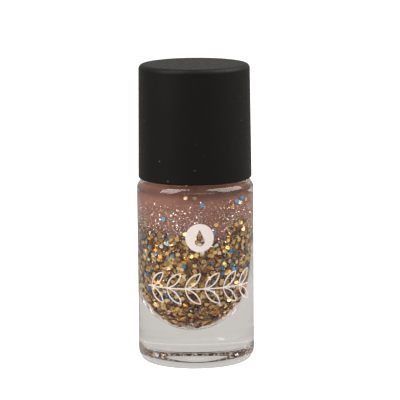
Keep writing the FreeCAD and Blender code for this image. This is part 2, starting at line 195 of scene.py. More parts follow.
def revolved(name, radii, heights, leaning=None):
    """A closed skin from rings round the axis. radii and heights have a row per ring and a column per step.
    The first and last rings are single points on the axis. Rings marked in leaning lean with the cavity."""
    rings, steps = radii.shape
    turn = turn_steps(steps)
    grid = np.stack((radii * np.cos(turn), radii * np.sin(turn), heights), -1)
    if leaning is not None:
        grid[leaning] = leaned(grid[leaning])
    points = np.concatenate((grid[:1, 0], grid[1:-1].reshape(-1, 3), grid[-1:, 0]))
    last = len(points) - 1
    faces = []
    for j in range(steps):
        faces.append((0, 1 + (j + 1) % steps, 1 + j))
    for i in range(rings - 3):
        low, high = 1 + i * steps, 1 + (i + 1) * steps
        for j in range(steps):
            k = (j + 1) % steps
            faces.append((low + j, low + k, high + k, high + j))
    top = 1 + (rings - 3) * steps
    for j in range(steps):
        faces.append((top + j, top + (j + 1) % steps, last))
    return mesh_object(name, points, faces)


# ---------------------------------------------------------------- materials
def new_material(name):
    """A material with its Principled shader, ready for more nodes."""
    material = bpy.data.materials.new(name)
    material.use_nodes = True
    tree = material.node_tree
    shader = next(n for n in tree.nodes if n.type == "BSDF_PRINCIPLED")
    return material, tree, shader


def settings(node, **values):
    """Sets inputs of a node by name, with _ for a space."""
    for name, value in values.items():
        node.inputs[name.replace("_", " ")].default_value = value


def noise_texture(tree, millimetres, detail=2.0, roughness=0.5):
    """Noise whose features are about this many millimetres across, fixed to the piece."""
    where = tree.nodes.new("ShaderNodeTexCoord")
    texture = tree.nodes.new("ShaderNodeTexNoise")
    settings(texture, Scale=1 / (millimetres * MM), Detail=detail, Roughness=roughness)
    tree.links.new(where.outputs["Object"], texture.inputs["Vector"])
    return texture


def ramp(tree, factor, *stops):
    """A colour ramp: stops are (position, colour)."""
    node = tree.nodes.new("ShaderNodeValToRGB")
    elements = node.color_ramp.elements
    while len(elements) < len(stops):
        elements.new(0.5)
    for element, (position, colour) in zip(elements, stops):
        element.position = position
        element.color = (*colour, 1)
    tree.links.new(factor, node.inputs["Fac"])
    return node


def bumped(tree, shader, height, distance_mm, strength):
    """Bumps on the shader's surface, from a height between 0 and 1."""
    bump = tree.nodes.new("ShaderNodeBump")
    settings(bump, Strength=strength, Distance=distance_mm * MM)
    tree.links.new(height, bump.inputs["Height"])
    tree.links.new(bump.outputs["Normal"], shader.inputs["Normal"])


def clear_for_lamps(tree, shader):
    """Lets lamp light straight through clear glass, so that what is behind it is lit."""
    clear = tree.nodes.new("ShaderNodeBsdfTransparent")
    path = tree.nodes.new("ShaderNodeLightPath")
    mix = tree.nodes.new("ShaderNodeMixShader")
    output = next(n for n in tree.nodes if n.type == "OUTPUT_MATERIAL")
    tree.links.new(path.outputs["Is Shadow Ray"], mix.inputs[0])
    tree.links.new(shader.outputs[0], mix.inputs[1])
    tree.links.new(clear.outputs[0], mix.inputs[2])
    tree.links.new(mix.outputs[0], output.inputs["Surface"])


def clear_glass(name, ior, tint):
    """Glass. Where it is wetted, ior is that of the glass against the lacquer."""
    material, tree, shader = new_material(name)
    settings(shader, Base_Color=(*tint, 1), Roughness=0.0, IOR=ior, Transmission_Weight=1.0)
    clear_for_lamps(tree, shader)
    return material


def metal_flake(name, colour, roughness):
    """The metallised film that one kind of flake is cut from."""
    material, _, shader = new_material(name)
    settings(shader, Base_Color=(*colour, 1), Metallic=0.92, Roughness=roughness)
    return material


def lacquer_core():
    """Mauve lacquer, painted dark brown where the glitter has settled as the shade between the flakes."""
    material, tree, shader = new_material("lacquer_mauve")
    settled = tree.nodes.new("ShaderNodeAttribute")
    settled.attribute_name = "settled"
    swirl = noise_texture(tree, 5.0, 4.0, 0.6)
    swirl.inputs["Distortion"].default_value = 1.2
    mauve = ramp(tree, swirl.outputs["Fac"], (0.30, (0.175, 0.074, 0.053)), (0.52, (0.21, 0.098, 0.072)),
                 (0.72, (0.25, 0.125, 0.097)))
    grain = noise_texture(tree, 0.7, 3.0, 0.6)
    # Painted shade: near black to brown, standing for the shade between the settled flakes.
    painted_shade_between_flakes = ramp(tree, grain.outputs["Fac"], (0.35, (0.030, 0.013, 0.007)), (0.55, (0.105, 0.045, 0.020)),
                (0.75, (0.24, 0.115, 0.045)))
    mix = tree.nodes.new("ShaderNodeMix")
    mix.data_type = "RGBA"
    tree.links.new(settled.outputs["Fac"], mix.inputs["Factor"])
    tree.links.new(mauve.outputs["Color"], mix.inputs[6])
    tree.links.new(painted_shade_between_flakes.outputs["Color"], mix.inputs[7])
    tree.links.new(mix.outputs[2], shader.inputs["Base Color"])
    settings(shader, Roughness=0.6, Specular_IOR_Level=0.0)
    bumped(tree, shader, grain.outputs["Fac"], 0.12, 0.6)
    return material


def wet_lacquer(name, tint):
    """Lacquer with a free, glossy surface."""
    material, tree, shader = new_material(name)
    swirl = noise_texture(tree, 1.6, 3.0)
    dark = tuple(c * 0.75 for c in tint)
    light = tuple(c * 1.25 for c in tint)
    colours = ramp(tree, swirl.outputs["Fac"], (0.35, dark), (0.65, light))
    tree.links.new(colours.outputs["Color"], shader.inputs["Base Color"])
    settings(shader, Roughness=0.12, Coat_Weight=0.6, Coat_Roughness=0.05)
    bumped(tree, shader, swirl.outputs["Fac"], 0.05, 0.4)
    return material


def screen_print():
    """Fired white enamel, a little grainy from the screen's mesh."""
    material, tree, shader = new_material("print_enamel")
    grain = noise_texture(tree, 0.16, 3.0)
    colours = ramp(tree, grain.outputs["Fac"], (0.3, (0.66, 0.60, 0.575)), (0.7, (0.76, 0.70, 0.67)))
    tree.links.new(colours.outputs["Color"], shader.inputs["Base Color"])
    settings(shader, Roughness=0.5)
    bumped(tree, shader, grain.outputs["Fac"], 0.01, 0.5)
    return material


def soft_touch():
    """Matt black rubbery paint with a fine grain and a few specks of dust."""
    material, tree, shader = new_material("soft_touch_black")
    cloud = noise_texture(tree, 7.0, 3.0)
    black = ramp(tree, cloud.outputs["Fac"], (0.35, (0.00096, 0.00084, 0.00066)),
                 (0.65, (0.00144, 0.00127, 0.00098)))
    where = tree.nodes.new("ShaderNodeTexCoord")
    cells = tree.nodes.new("ShaderNodeTexVoronoi")
    settings(cells, Scale=1 / (2.6 * MM), Randomness=1.0)
    tree.links.new(where.outputs["Object"], cells.inputs["Vector"])
    specks = ramp(tree, cells.outputs["Distance"], (0.035, (1, 1, 1)), (0.060, (0, 0, 0)))
    patches = noise_texture(tree, 6.0, 1.0)
    some = ramp(tree, patches.outputs["Fac"], (0.46, (0, 0, 0)), (0.54, (1, 1, 1)))
    both = tree.nodes.new("ShaderNodeMath")
    both.operation = "MULTIPLY"
    tree.links.new(specks.outputs["Color"], both.inputs[0])
    tree.links.new(some.outputs["Color"], both.inputs[1])
    mix = tree.nodes.new("ShaderNodeMix")
    mix.data_type = "RGBA"
    mix.inputs[7].default_value = (0.16, 0.15, 0.135, 1)
    tree.links.new(both.outputs[0], mix.inputs["Factor"])
    tree.links.new(black.outputs["Color"], mix.inputs[6])
    tree.links.new(mix.outputs[2], shader.inputs["Base Color"])
    grain = noise_texture(tree, 0.42, 4.0, 0.7)
    rough = ramp(tree, grain.outputs["Fac"], (0.3, (0.38, 0.38, 0.38)), (0.7, (0.66, 0.66, 0.66)))
    tree.links.new(rough.outputs["Color"], shader.inputs["Roughness"])
    settings(shader, Specular_IOR_Level=0.18, Specular_Tint=(1, 0.93, 0.85, 1))
    bumped(tree, shader, grain.outputs["Fac"], 0.07, 0.6)
    return material


def moulded_plastic(name, dark, light, roughness, grain_mm=0.4, **extra):
    """A plastic with faint flow clouding and a fine surface grain."""
    material, tree, shader = new_material(name)
    cloud = noise_texture(tree, 2.5, 3.0)
    colours = ramp(tree, cloud.outputs["Fac"], (0.35, dark), (0.65, light))
    tree.links.new(colours.outputs["Color"], shader.inputs["Base Color"])
    grain = noise_texture(tree, grain_mm, 3.0)
    settings(shader, Roughness=roughness, **extra)
    bumped(tree, shader, grain.outputs["Fac"], 0.02, 0.4)
    return material


def bright_steel():
    """Steel with fine drawn scratches."""
    material, tree, shader = new_material("bright_steel")
    scratches = noise_texture(tree, 0.12, 4.0, 0.7)
    colours = ramp(tree, scratches.outputs["Fac"], (0.3, (0.50, 0.50, 0.50)), (0.7, (0.68, 0.67, 0.66)))
    rough = ramp(tree, scratches.outputs["Fac"], (0.3, (0.16, 0.16, 0.16)), (0.7, (0.34, 0.34, 0.34)))
    tree.links.new(colours.outputs["Color"], shader.inputs["Base Color"])
    tree.links.new(rough.outputs["Color"], shader.inputs["Roughness"])
    settings(shader, Metallic=1.0)
    return material


# ---------------------------------------------------------------- camera, lights and floor
CAMERA_AIM = Vector((1.1, 0.0, 37.2)) * MM
CAMERA_DISTANCE = 574.3 * MM
CAMERA_ELEVATION = math.radians(9.77)
CAMERA_ROLL = math.radians(-0.49)
CAMERA_LENS = 223.2
LAMP_DISTANCE = 450 * MM
LAMP_TINT = (1.0, 0.98, 0.95)
FLOOR_HALF = 2500.0
FLOOR_Z = -0.02


def direction(azimuth_deg, elevation_deg):
    """The unit vector towards a place round the object. Azimuth 0 is the front, and 90 the right."""
    a, e = math.radians(azimuth_deg), math.radians(elevation_deg)
    return Vector((math.sin(a) * math.cos(e), -math.cos(a) * math.cos(e), math.sin(e)))


def add_camera():
    data = bpy.data.cameras.new("camera")
    data.sensor_width = 36
    data.lens = CAMERA_LENS
    data.clip_start = 0.05
    data.clip_end = 50
    camera = bpy.data.objects.new("camera", data)
    towards = direction(0, math.degrees(CAMERA_ELEVATION))
    camera.location = CAMERA_AIM + towards * CAMERA_DISTANCE
    camera.rotation_mode = "QUATERNION"
    facing = (-towards).to_track_quat("-Z", "Y").to_matrix()
    camera.rotation_quaternion = (facing @ Matrix.Rotation(CAMERA_ROLL, 3, "Z")).to_quaternion()
    bpy.context.scene.collection.objects.link(camera)
    bpy.context.scene.camera = camera


def add_softbox(name, azimuth, elevation, width_mm, height_mm, radiance):
    """A rectangular lamp of about this radiance, facing the object. The camera doesn't see it."""
    data = bpy.data.lights.new(name, "AREA")
    data.shape = "RECTANGLE"
    data.size = width_mm * MM
    data.size_y = height_mm * MM
    data.energy = radiance * math.pi * data.size * data.size_y
    data.color = LAMP_TINT
    lamp = bpy.data.objects.new(name, data)
    towards = direction(azimuth, elevation)
    lamp.location = CAMERA_AIM + towards * LAMP_DISTANCE
    lamp.rotation_mode = "QUATERNION"
    lamp.rotation_quaternion = (-towards).to_track_quat("-Z", "Y")
    lamp.visible_camera = False
    bpy.context.scene.collection.objects.link(lamp)


def add_world():
    """A white studio to the camera. What the object sees is a soft, warm grey room, brighter behind."""
    world = bpy.data.worlds.new("studio")
    bpy.context.scene.world = world
    world.use_nodes = True
    tree = world.node_tree
    tree.nodes.clear()
    where = tree.nodes.new("ShaderNodeTexCoord")
    axes = tree.nodes.new("ShaderNodeSeparateXYZ")
    tree.links.new(where.outputs["Generated"], axes.inputs[0])
    height = tree.nodes.new("ShaderNodeMapRange")
    settings(height, From_Min=-0.1, From_Max=0.9, To_Min=0.60, To_Max=0.55)
    tree.links.new(axes.outputs["Z"], height.inputs["Value"])
    depth = tree.nodes.new("ShaderNodeMapRange")
    settings(depth, From_Min=-1.0, From_Max=0.6, To_Min=0.58, To_Max=0.96)
    tree.links.new(axes.outputs["Y"], depth.inputs["Value"])
    product = tree.nodes.new("ShaderNodeMath")
    product.operation = "MULTIPLY"
    tree.links.new(height.outputs["Result"], product.inputs[0])
    tree.links.new(depth.outputs["Result"], product.inputs[1])
    room = tree.nodes.new("ShaderNodeBackground")
    room.inputs["Color"].default_value = (1.0, 0.97, 0.925, 1)
    tree.links.new(product.outputs[0], room.inputs["Strength"])
    paper = tree.nodes.new("ShaderNodeBackground")
    paper.inputs["Color"].default_value = (1, 1, 1, 1)
    path = tree.nodes.new("ShaderNodeLightPath")
    mix = tree.nodes.new("ShaderNodeMixShader")
    output = tree.nodes.new("ShaderNodeOutputWorld")
    tree.links.new(path.outputs["Is Camera Ray"], mix.inputs[0])
    tree.links.new(room.outputs[0], mix.inputs[1])
    tree.links.new(paper.outputs[0], mix.inputs[2])
    tree.links.new(mix.outputs[0], output.inputs["Surface"])


def add_floor():
    """A sheet of paper that glows a little. It is white to the camera, and greyer to the object."""
    corners = [(x * FLOOR_HALF, y * FLOOR_HALF, 0) for x, y in ((-1, -1), (1, -1), (1, 1), (-1, 1))]
    floor = mesh_object("floor", corners, [(0, 1, 2, 3)])
    floor.location.z = FLOOR_Z * MM
    material = bpy.data.materials.new("pale_paper")
    material.use_nodes = True
    tree = material.node_tree
    tree.nodes.clear()
    fibre = noise_texture(tree, 1.5, 4.0)
    seen = ramp(tree, fibre.outputs["Fac"], (0.3, (0.955, 0.955, 0.95)), (0.7, (0.975, 0.975, 0.97)))
    met = ramp(tree, fibre.outputs["Fac"], (0.3, (0.176, 0.171, 0.164)), (0.7, (0.190, 0.185, 0.178)))
    papers = []
    for colours, glow, tint in ((met, 0.22, (1, 0.985, 0.96, 1)), (seen, 0.56, (1, 1, 1, 1))):
        shader = tree.nodes.new("ShaderNodeBsdfDiffuse")
        tree.links.new(colours.outputs["Color"], shader.inputs["Color"])
        lit_through = tree.nodes.new("ShaderNodeEmission")
        settings(lit_through, Color=tint, Strength=glow)
        paper = tree.nodes.new("ShaderNodeAddShader")
        tree.links.new(shader.outputs[0], paper.inputs[0])
        tree.links.new(lit_through.outputs[0], paper.inputs[1])
        papers.append(paper)
    path = tree.nodes.new("ShaderNodeLightPath")
    mix = tree.nodes.new("ShaderNodeMixShader")
    output = tree.nodes.new("ShaderNodeOutputMaterial")
    tree.links.new(path.outputs["Is Camera Ray"], mix.inputs[0])
    tree.links.new(papers[0].outputs[0], mix.inputs[1])
    tree.links.new(papers[1].outputs[0], mix.inputs[2])
    tree.links.new(mix.outputs[0], output.inputs["Surface"])
    floor.data.materials.append(material)


def light_paths():
    """Colours as they are, and enough bounces for glass behind glass."""
    scene = bpy.context.scene
    scene.view_settings.view_transform = "Standard"
    scene.view_settings.look = "None"
    scene.cycles.max_bounces = 24
    scene.cycles.transmission_bounces = 20
    scene.cycles.glossy_bounces = 12
    scene.cycles.transparent_max_bounces = 32
    scene.cycles.caustics_refractive = True
    scene.cycles.caustics_reflective = False
    scene.cycles.use_denoising = True


# ---------------------------------------------------------------- the cavity as an outline
def cavity_outline():
    """Radius and height along the cavity's wall, from its lowest point to the throat."""
    return chain(
        arc_points((0, BOWL_RIM_Z), (BOWL_RADIUS, BOWL_RIM_Z - CAVITY_FLOOR_Z), -90, 0, 27),
        run((BOWL_RADIUS, BOWL_RIM_Z), (CAVITY_RADIUS, DOME_START_Z), 11),
        arc_points((DOME_TOP_RADIUS, DOME_START_Z),
                   (CAVITY_RADIUS - DOME_TOP_RADIUS, DOME_TOP_Z - DOME_START_Z), 0, 90, 19),
        arc_points((DOME_TOP_RADIUS, SHOULDER_Z),
                   (DOME_TOP_RADIUS - THROAT_RADIUS, SHOULDER_Z - DOME_TOP_Z), 270, 185, 8),
    )


def outline_normals(points):
    """Unit normals on the right-hand side of an outline, which is outwards for the cavity's."""
    along = np.gradient(points, axis=0)
    normals = np.stack((along[:, 1], -along[:, 0]), -1)
    return normals / np.linalg.norm(normals, axis=1)[:, None]


CAVITY = cavity_outline()
CAVITY_NORMALS = outline_normals(CAVITY)
CAVITY_NORMALS[0] = (0, -1)
# Area of the wall up to each point of the outline.
STEPS_MM = np.linalg.norm(np.diff(CAVITY, axis=0), axis=1)
MEAN_RADII = (CAVITY[1:, 0] + CAVITY[:-1, 0]) / 2
CAVITY_AREA = np.concatenate(([0], np.cumsum(2 * math.pi * MEAN_RADII * STEPS_MM)))


def bed_top(angle):
    """Height of the settled glitter against the glass: a hollow right of the front, and a drift beyond it.
    Angle 0 is the front, in radians."""
    drifts = (
        0.6 * np.cos(angle + 1.6)
        - BED_HOLLOW_DEPTH * hump(angle, *BED_HOLLOW)
        + BED_DRIFT_HEIGHT * hump(angle, *BED_DRIFT)
        + 0.5 * np.sin(3 * angle + 0.4)
        + 0.25 * np.sin(7 * angle + 2.0)
    )
    return BED_TOP_Z + drifts


def front_angle(points):
    """Angle round the axis from the front, positive to the right."""
    return np.arctan2(points[..., 0], -points[..., 1])


# ---------------------------------------------------------------- glass
def spokes(turn_deg, arcs, step, radii, width):
    """1 in the middle of each radial bar under the bottle, 0 between them."""
    depth = np.zeros_like(turn_deg)
    half = math.degrees(width / 2 / np.mean(radii))
    for first, last in arcs:
        for middle in np.arange(first, last + 0.01, step):
            away = np.abs((turn_deg - middle + 180) % 360 - 180)
            depth = np.maximum(depth, 1 - smooth(away, half * 0.6, half * 1.4))
    return depth


def thread_profile(heights, turn):
    """How far the neck's thread stands out. Its ends run out gently into the neck."""
    standing = np.zeros(np.broadcast(heights, turn).shape)
    for lap in range(2):
        laps = turn / (2 * math.pi) + lap
        away = np.abs(heights - THREAD_START_Z - THREAD_PITCH * laps)
        flank = 1 - smooth(away, THREAD_CREST / 2, THREAD_ROOT / 2)
        start = smooth(laps, 0, THREAD_FADE_TURNS)
        end = 1 - smooth(laps, THREAD_TURNS - THREAD_FADE_TURNS, THREAD_TURNS)
        standing = np.maximum(standing, flank * (start * end))
    return standing * THREAD_HEIGHT


def glass_outside():
    """The outline of the glass from the middle of its base to the edge of its bore."""
    dome_radius = (PUSH_UP_RADIUS ** 2 + PUSH_UP_DEPTH ** 2) / (2 * PUSH_UP_DEPTH)
    dome_half = math.degrees(math.asin(PUSH_UP_RADIUS / dome_radius))
    turned_in = HEEL_SWEEP - HEEL_ROUND
    heel_turn = math.radians(HEEL_TURN)
    sweep = (BODY_RADIUS - HEEL_SWEEP, HEEL_ROUND + turned_in * math.sin(heel_turn))
    heel = (sweep[0] + turned_in * math.cos(heel_turn), HEEL_ROUND)
    corner = (BODY_RADIUS - SHOULDER_ROUND, SHOULDER_Z - SHOULDER_ROUND)
    neck_foot = (NECK_RADIUS + NECK_FOOT_ROUND, SHOULDER_Z + NECK_FOOT_ROUND)
    lip = (NECK_RADIUS - LIP_ROUND, LIP_Z - LIP_ROUND)
    seam = PLATE_SEAM_WIDTH / 2
    thread_low = THREAD_START_Z - THREAD_MARGIN
    thread_high = THREAD_START_Z + THREAD_PITCH * THREAD_TURNS + THREAD_MARGIN
    return chain(
        arc_points((0, PUSH_UP_DEPTH - dome_radius), dome_radius, 90, 90 - dome_half, 37),
        run((PUSH_UP_RADIUS, 0), (NOTCH_RADII[0] - 0.05, 0), 3),
        run((NOTCH_RADII[0] - 0.05, 0), (NOTCH_RADII[1] + 0.1, 0), 11),
        run((NOTCH_RADII[1] + 0.1, 0), (heel[0], 0), 3),
        arc_points(heel, HEEL_ROUND, -90, -HEEL_TURN, 8),
        arc_points(sweep, HEEL_SWEEP, -HEEL_TURN, 0, 14),
        run((BODY_RADIUS, sweep[1]), (BODY_RADIUS, PLATE_SEAM_Z - seam), 4),
        run((BODY_RADIUS, PLATE_SEAM_Z - seam), (BODY_RADIUS, PLATE_SEAM_Z + seam), 9),
        run((BODY_RADIUS, PLATE_SEAM_Z + seam), (BODY_RADIUS, corner[1]), 15),
        arc_points(corner, SHOULDER_ROUND, 0, 90, 16),
        run((corner[0], SHOULDER_Z), (neck_foot[0], SHOULDER_Z), 5),
        arc_points(neck_foot, NECK_FOOT_ROUND, 270, 180, 6),
        run((NECK_RADIUS, neck_foot[1]), (NECK_RADIUS, thread_low), 5),
        run((NECK_RADIUS, thread_low), (NECK_RADIUS, thread_high), 44),
        run((NECK_RADIUS, thread_high), (NECK_RADIUS, lip[1]), 6),
        arc_points(lip, LIP_ROUND, 0, 90, 7),
        run((lip[0], LIP_Z), (MOUTH_RADIUS, LIP_Z), 4),
        arc_points((MOUTH_RADIUS, LIP_Z - MOUTH_ROUND[1]), MOUTH_ROUND, 90, 180, 6),
    )


def glass_rings():
    """Radii and heights of every ring of the glass, outside then inside, and which rings lean."""
    outside = glass_outside()
    bore = run((BORE_RADIUS, LIP_Z - MOUTH_ROUND[1]), (BORE_RADIUS, BORE_FOOT_Z), 16)
    inside = CAVITY[::-1]
    outline = chain(outside, bore, inside)
    outline[-1, 0] = 0
    leaning = np.zeros(len(outline), bool)
    leaning[-len(inside):] = True
    return outline, len(outside), leaning


def glass_vessel(steps=360):
    """The bottle: its outline turned round the axis, with the thread, mould seams, notches and bars."""
    outline, outer_count, leaning = glass_rings()
    turn = turn_steps(steps)
    radii = np.repeat(outline[:, :1], steps, 1)
    heights = np.repeat(outline[:, 1:], steps, 1)
    on_neck = (outline[:, 1] > SHOULDER_Z + NECK_FOOT_ROUND) & (abs(outline[:, 0] - NECK_RADIUS) < 0.01)
    radii[on_neck] += thread_profile(heights[on_neck], turn)
    upright = abs(outline[:, 0] - BODY_RADIUS) < 0.001
    from_seam = np.abs(heights[upright] - PLATE_SEAM_Z)
    radii[upright] += PLATE_SEAM_HEIGHT * (1 - smooth(from_seam, 0, PLATE_SEAM_WIDTH / 2))
    for angle in HALF_SEAM_ANGLES:
        away = np.abs((np.degrees(turn) - angle + 180) % 360 - 180) * math.pi / 180 * BODY_RADIUS
        radii[upright] += HALF_SEAM_HEIGHT * (1 - smooth(away, 0, HALF_SEAM_WIDTH / 2))
    ring = (outline[:, 1] < 1e-6) & (outline[:, 0] > NOTCH_RADII[0]) & (outline[:, 0] < NOTCH_RADII[1])
    notches = spokes(np.degrees(turn), NOTCH_ARCS, NOTCH_STEP, NOTCH_RADII, NOTCH_WIDTH)
    heights[ring] += NOTCH_DEPTH * notches
    hollow = (outline[:, 0] > BAR_RADII[0]) & (outline[:, 0] < BAR_RADII[1])
    hollow &= outline[:, 1] < PUSH_UP_DEPTH
    hollow[len(outline) // 2:] = False
    bars = spokes(np.degrees(turn), BAR_ARCS, BAR_STEP, BAR_RADII, BAR_WIDTH)
    heights[hollow] += (BAR_TOP_Z - heights[hollow]) * bars
    glass = revolved("glass_vessel", radii, heights, leaning)
    glass.data.materials.append(clear_glass("flint_glass", 1.5, (1, 1, 1)))
    glass.data.materials.append(clear_glass("glass_wetted_by_lacquer", 1.035, (0.97, 0.925, 0.905)))
    glass.data.materials.append(clear_glass("glass_wetted_bowl", 1.042, (0.985, 0.875, 0.83)))
    mark_wetted(glass, outer_count, steps)
    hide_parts("glass_bottle")
    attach(glass, "bottle")


def film_edge(turn):
    """Height of the uneven upper edge of the lacquer that clings inside the neck."""
    return FILM_EDGE_Z + 0.5 * np.sin(turn * 2 + 1) + 0.35 * np.sin(turn * 5) + 0.2 * np.sin(turn * 11 + 2)


def mark_wetted(glass, outer_count, steps):
    """The second material goes on the inside, below the edge of the clinging lacquer. The third goes on the
    bowl, where there is more lacquer between the glass and the flakes."""
    mesh = glass.data
    centres = np.zeros(len(mesh.polygons) * 3)
    mesh.polygons.foreach_get("center", centres)
    centres = centres.reshape(-1, 3) / MM
    inside = np.arange(len(mesh.polygons)) >= steps * (outer_count - 1)
    below = centres[:, 2] < film_edge(np.arctan2(centres[:, 1], centres[:, 0]))
    bowl = inside & (centres[:, 2] < BOWL_TINT_Z)
    mesh.polygons.foreach_set("material_index", (inside & below).astype(np.int32) + bowl.astype(np.int32))


# ---------------------------------------------------------------- lacquer
def core_inset(heights):
    """How far the solid look of the lacquer lies behind the glass: flakes float in front of it."""
    inset = CORE_INSET - CORE_INSET_FALL * smooth(heights, *BOWL_FADE_Z)
    return inset * (1 - smooth(heights, MENISCUS_Z + 0.9, FILL_EDGE_Z - 0.05)) + SKIN_GAP


def lacquer_rings(steps):
    """Radii and heights of the lacquer's rings: up its outside, over the film in the neck, back down and
    over its free surface. Also how many of them are its outside."""
    turn = turn_steps(steps)
    outside = CAVITY - CAVITY_NORMALS * core_inset(CAVITY[:, 1])[:, None]
    outside[0, 0] = 0
    top = film_edge(turn) - 0.1
    rows = [(np.full(steps, r), np.full(steps, z)) for r, z in outside]
    neck_skin = np.full(steps, BORE_RADIUS - SKIN_GAP)
    for share in np.linspace(0, 1, FILM_RINGS):
        rows.append((neck_skin, BORE_FOOT_Z + (top - BORE_FOOT_Z) * share))
    for share in np.linspace(1, 0, FILM_RINGS):
        thick = FILM_THICKNESS * (1 - 0.7 * share ** 4)
        rows.append((neck_skin - thick, BORE_FOOT_Z + (top - BORE_FOOT_Z) * share))
    inner = CAVITY - CAVITY_NORMALS * (SKIN_GAP + FILM_THICKNESS)
    contact = [p for p in inner[::-1] if p[1] > FILL_EDGE_Z - 0.35]
    rows += [(np.full(steps, r), np.full(steps, z)) for r, z in contact]
    edge_radius, edge_z = contact[-1]
    for share in np.linspace(1, 0, 15)[1:]:
        sag = edge_z - (edge_z - MENISCUS_Z) * (1 - share ** 2.4)
        rows.append((np.full(steps, edge_radius * share), np.full(steps, sag)))
    radii, heights = (np.array(side) for side in zip(*rows))
    return radii, heights, len(outside)


def lacquer_body(steps=192):
    """The lacquer. A painted attribute tells its material where the glitter has settled, and so where it
    paints the shade between the flakes.
    """
    radii, heights, outer_count = lacquer_rings(steps)
    leaning = heights[:, 0] < SHOULDER_Z
    body = revolved("lacquer_body", radii, heights, leaning)
    mesh = body.data
    points = np.array([v.co for v in mesh.vertices]) / MM
    settled = smooth(bed_top(front_angle(points)) - points[:, 2], -0.9, 0.9)
    for i, p in enumerate(points[:1 + outer_count * steps]):
        cloud = 0.35 * noise.noise(Vector(p) * 1.3) * (settled[i] > 0.01)
        settled[i] = min(1, max(0, settled[i] + cloud))
    attribute = mesh.attributes.new("settled", "FLOAT", "POINT")
    attribute.data.foreach_set("value", settled.astype(np.float32))
    mesh.materials.append(lacquer_core())
    mesh.materials.append(wet_lacquer("lacquer_surface", (0.36, 0.17, 0.125)))
    surface = np.arange(len(mesh.polygons)) >= steps * (outer_count + FILM_RINGS - 1)
    mesh.polygons.foreach_set("material_index", surface.astype(np.int32))
    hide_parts("lacquer")
    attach(body, "bottle")


# ---------------------------------------------------------------- flakes
def wall_places(count):
    """Random places up the cavity's wall, evenly by area, as numbers along the points of its outline."""
    area = RANDOM.uniform(0, CAVITY_AREA[-1], count)
    return np.interp(area, CAVITY_AREA, np.arange(len(CAVITY)))


def wall_heights(places):
    return np.interp(places, np.arange(len(CAVITY)), CAVITY[:, 1])


def wall_frames(places, turn, depth):
    """Points this deep behind the wall, with their directions out of it, round the axis and up it."""
    index = np.arange(len(CAVITY))
    radius = np.interp(places, index, CAVITY[:, 0]) - depth * np.interp(places, index, CAVITY_NORMALS[:, 0])
    height = np.interp(places, index, CAVITY[:, 1]) - depth * np.interp(places, index, CAVITY_NORMALS[:, 1])
    out_r = np.interp(places, index, CAVITY_NORMALS[:, 0])
    out_z = np.interp(places, index, CAVITY_NORMALS[:, 1])
    c, s = np.cos(turn), np.sin(turn)
    points = np.stack((radius * c, radius * s, height), -1)
    outward = np.stack((out_r * c, out_r * s, out_z), -1)
    outward /= np.linalg.norm(outward, axis=1)[:, None]
    around = np.stack((-s, c, np.zeros_like(c)), -1)
    up = np.cross(outward, around)
    return points, outward, around, up


def tilted(outward, around, up, tilt):
    """Directions across a flake whose face is tilted this far from the wall, about a random line."""
    spin = RANDOM.uniform(0, 2 * math.pi, len(tilt))
    axis = around * np.cos(spin)[:, None] + up * np.sin(spin)[:, None]
    side = np.cross(outward, axis)
    face = outward * np.cos(tilt)[:, None] + side * np.sin(tilt)[:, None]
    across = np.cross(face, axis)
    roll = RANDOM.uniform(0, math.pi, len(tilt))
    first = axis * np.cos(roll)[:, None] + across * np.sin(roll)[:, None]
    return face, first, np.cross(face, first)


def plates(name, points, face, first, second, radius, thickness, sides, materials, which):
    """One mesh of thin plates with this many sides. which is each plate's material."""
    count = len(points)
    corners = []
    radius = np.broadcast_to(radius, count)[:, None]
    for layer in (0.5, -0.5):
        for k in range(sides):
            a = 2 * math.pi * k / sides
            spoke = first * math.cos(a) + second * math.sin(a)
            corners.append(points + radius * spoke + face * thickness * layer)
    grid = np.stack(corners, 1)
    pattern = [tuple(range(sides)), tuple(reversed(range(sides, 2 * sides)))]
    pattern += [(k, k + sides, (k + 1) % sides + sides, (k + 1) % sides) for k in range(sides)]
    faces = [tuple(i * 2 * sides + v for v in polygon) for i in range(count) for polygon in pattern]
    piece = mesh_object(name, grid.reshape(-1, 3), faces, smooth_faces=False)
    for material in materials:
        piece.data.materials.append(material)
    piece.data.polygons.foreach_set("material_index", np.repeat(which, len(pattern)).astype(np.int32))
    return piece


def pick(weights, count):
    """A random material number for each plate, by weight."""
    share = np.array(weights, float)
    return RANDOM.choice(len(share), count, p=share / share.sum())


def gold_materials():
    return [
        metal_flake("flake_pale_gold", (0.82, 0.63, 0.29), 0.32),
        metal_flake("flake_gold", (0.68, 0.455, 0.145), 0.30),
        metal_flake("flake_deep_gold", (0.46, 0.25, 0.055), 0.30),
        metal_flake("flake_bronze", (0.24, 0.105, 0.022), 0.34),
        metal_flake("flake_brown", (0.085, 0.030, 0.008), 0.38),
        metal_flake("flake_orange", (0.72, 0.26, 0.035), 0.22),
        metal_flake("flake_silver", (0.93, 0.90, 0.84), 0.16),
    ]


def blue_materials():
    return [
        metal_flake("flake_blue", (0.045, 0.27, 0.47), 0.34),
        metal_flake("flake_deep_blue", (0.02, 0.10, 0.24), 0.30),
        metal_flake("flake_ink_blue", (0.012, 0.035, 0.08), 0.36),
    ]


def thinned(places, turn, likely, count):
    """Places and angles that a random draw keeps, up to this many. likely is the chance of each."""
    keep = RANDOM.uniform(0, 1, len(places)) < likely
    return places[keep][:count], turn[keep][:count]


